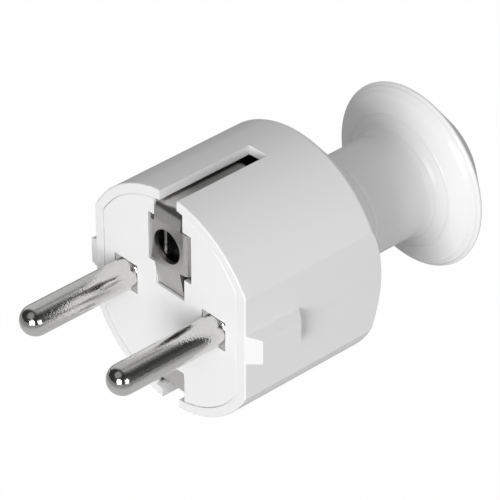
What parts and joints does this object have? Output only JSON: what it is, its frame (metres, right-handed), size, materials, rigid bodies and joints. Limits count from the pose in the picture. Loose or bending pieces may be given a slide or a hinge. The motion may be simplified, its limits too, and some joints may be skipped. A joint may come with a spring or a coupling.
{
  "type": "type f plug",
  "caption": "Round mains plug with flats, side earth contacts, an earth-pin socket, a waisted neck and a pull knob with a rear cable inlet.",
  "frame": {"origin": "centre of the contact face, midway between the two pins", "axes": "+Y along the plug's axis from the contact face to the cable inlet, pins towards -Y; +Z towards the earth socket; +X to the right seen from the pins"},
  "size_m": [0.0358, 0.0739, 0.0368],
  "materials": {
    "shell": "smooth moulded thermoplastic, light grey-white, semi-gloss",
    "insert": "smooth moulded thermoplastic, white, semi-gloss",
    "contact": "nickel-plated brass, bright",
    "spring": "bare phosphor bronze",
    "screw": "zinc-plated steel",
    "cover": "matt moulded thermoplastic, grey",
    "bush": "soft white rubber"
  },
  "bodies": {
    "root": {"housing": "shell", "contact_carrier": "insert", "line_pin": "contact", "neutral_pin": "contact", "earth_clip": "contact", "earth_socket_spring": "spring", "earth_socket_rivet": "contact", "line_saddle": "screw", "neutral_saddle": "screw", "earth_saddle": "screw", "line_terminal_screw": "screw", "neutral_terminal_screw": "screw", "earth_terminal_screw": "screw", "earth_terminal_block": "contact", "terminal_cover": "cover", "cover_screw_left": "screw", "cover_screw_right": "screw", "clamp_bar": "cover", "clamp_screw_upper": "screw", "clamp_screw_lower": "screw", "clamp_nut_upper": "screw", "clamp_nut_lower": "screw", "inlet_bush": "bush"}
  },
  "joints": []
}
